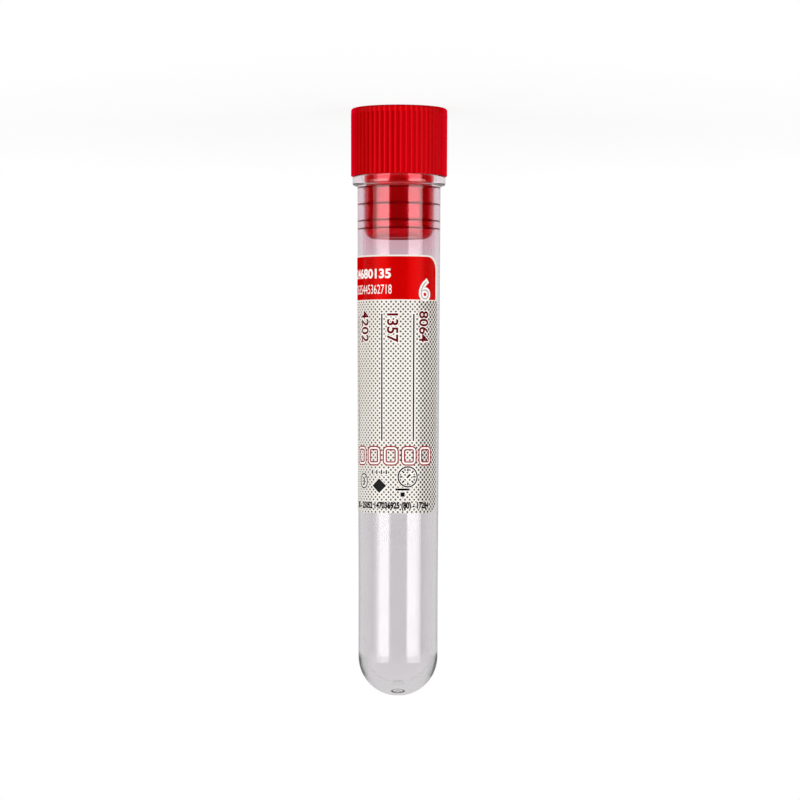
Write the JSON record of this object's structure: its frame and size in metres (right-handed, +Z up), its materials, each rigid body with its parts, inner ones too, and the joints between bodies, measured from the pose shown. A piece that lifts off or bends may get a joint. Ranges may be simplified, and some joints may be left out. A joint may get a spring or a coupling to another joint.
{
  "type": "blood collection tube",
  "caption": "Clear round-bottomed tube with a flanged mouth, a ribbed push-in stopper with sealing lips and a wrapped label, standing on the flat top of the stopper.",
  "frame": {"origin": "on the tube's axis, in the plane of the stopper's flat top, which the tube stands on", "axes": "+Z up along the tube, from the stopper towards the round bottom; -Y through the front of the label; +X completes the right-handed frame"},
  "size_m": [0.0186, 0.0186, 0.1127],
  "materials": {
    "clear_plastic": "gloss",
    "red_plastic": "satin",
    "label_film": "satin"
  },
  "bodies": {
    "stopper": {"stopper": "red_plastic"},
    "barrel": {"tube": "clear_plastic", "label": "label_film"}
  },
  "joints": [
    {"name": "stopper_slide", "type": "slide", "parent": "stopper", "child": "barrel", "axis": [0, 0, 1], "range_m": [0, 0.02]}
  ]
}
